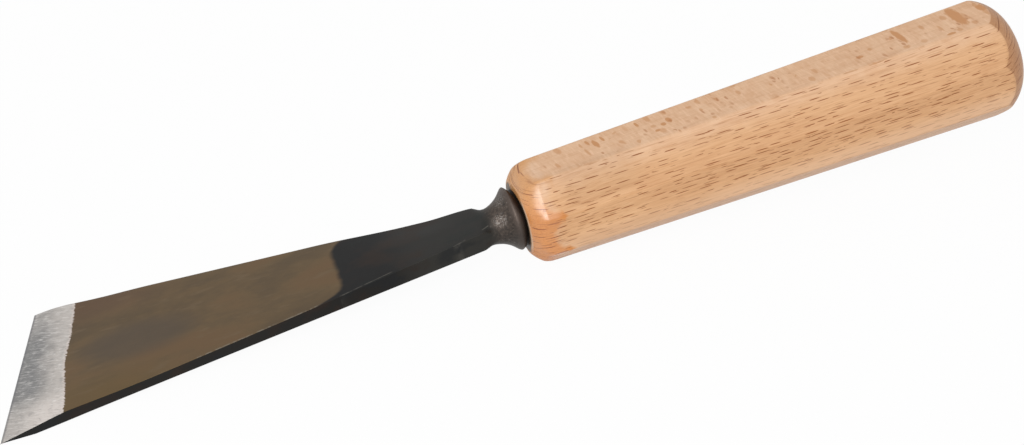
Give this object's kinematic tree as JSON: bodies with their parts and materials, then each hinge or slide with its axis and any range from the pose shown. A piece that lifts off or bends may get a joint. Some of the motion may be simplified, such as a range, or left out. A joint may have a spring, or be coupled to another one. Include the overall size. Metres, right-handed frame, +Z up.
{
  "type": "wood carving chisel",
  "caption": "Skew fishtail carving chisel: forged steel blade with a slanted bevelled edge, flared bolster and hidden tang, in a tapered octagonal beech handle with a crowned butt.",
  "frame": {"origin": "on the bench surface, under the middle of the tool's bounding box, with the tool lying on the corner of its back next to the long point and the front of its handle's underside", "axes": "+X along the tool from the cutting edge to the butt (the tool's own axis climbs 6.7 degrees towards the butt), +Y across the blade from the long point to the heel, +Z up"},
  "size_m": [0.2714, 0.0448, 0.0416],
  "materials": {
    "blade_steel": "bright ground bevels, bronze-brown tempered blade, black forge scale on neck and bolster",
    "ferrule_steel": "dark turned steel",
    "beech": "steamed beech under thin clear satin lacquer"
  },
  "bodies": {
    "root": {"blade": "blade_steel", "ferrule": "ferrule_steel", "handle": "beech"}
  },
  "joints": []
}
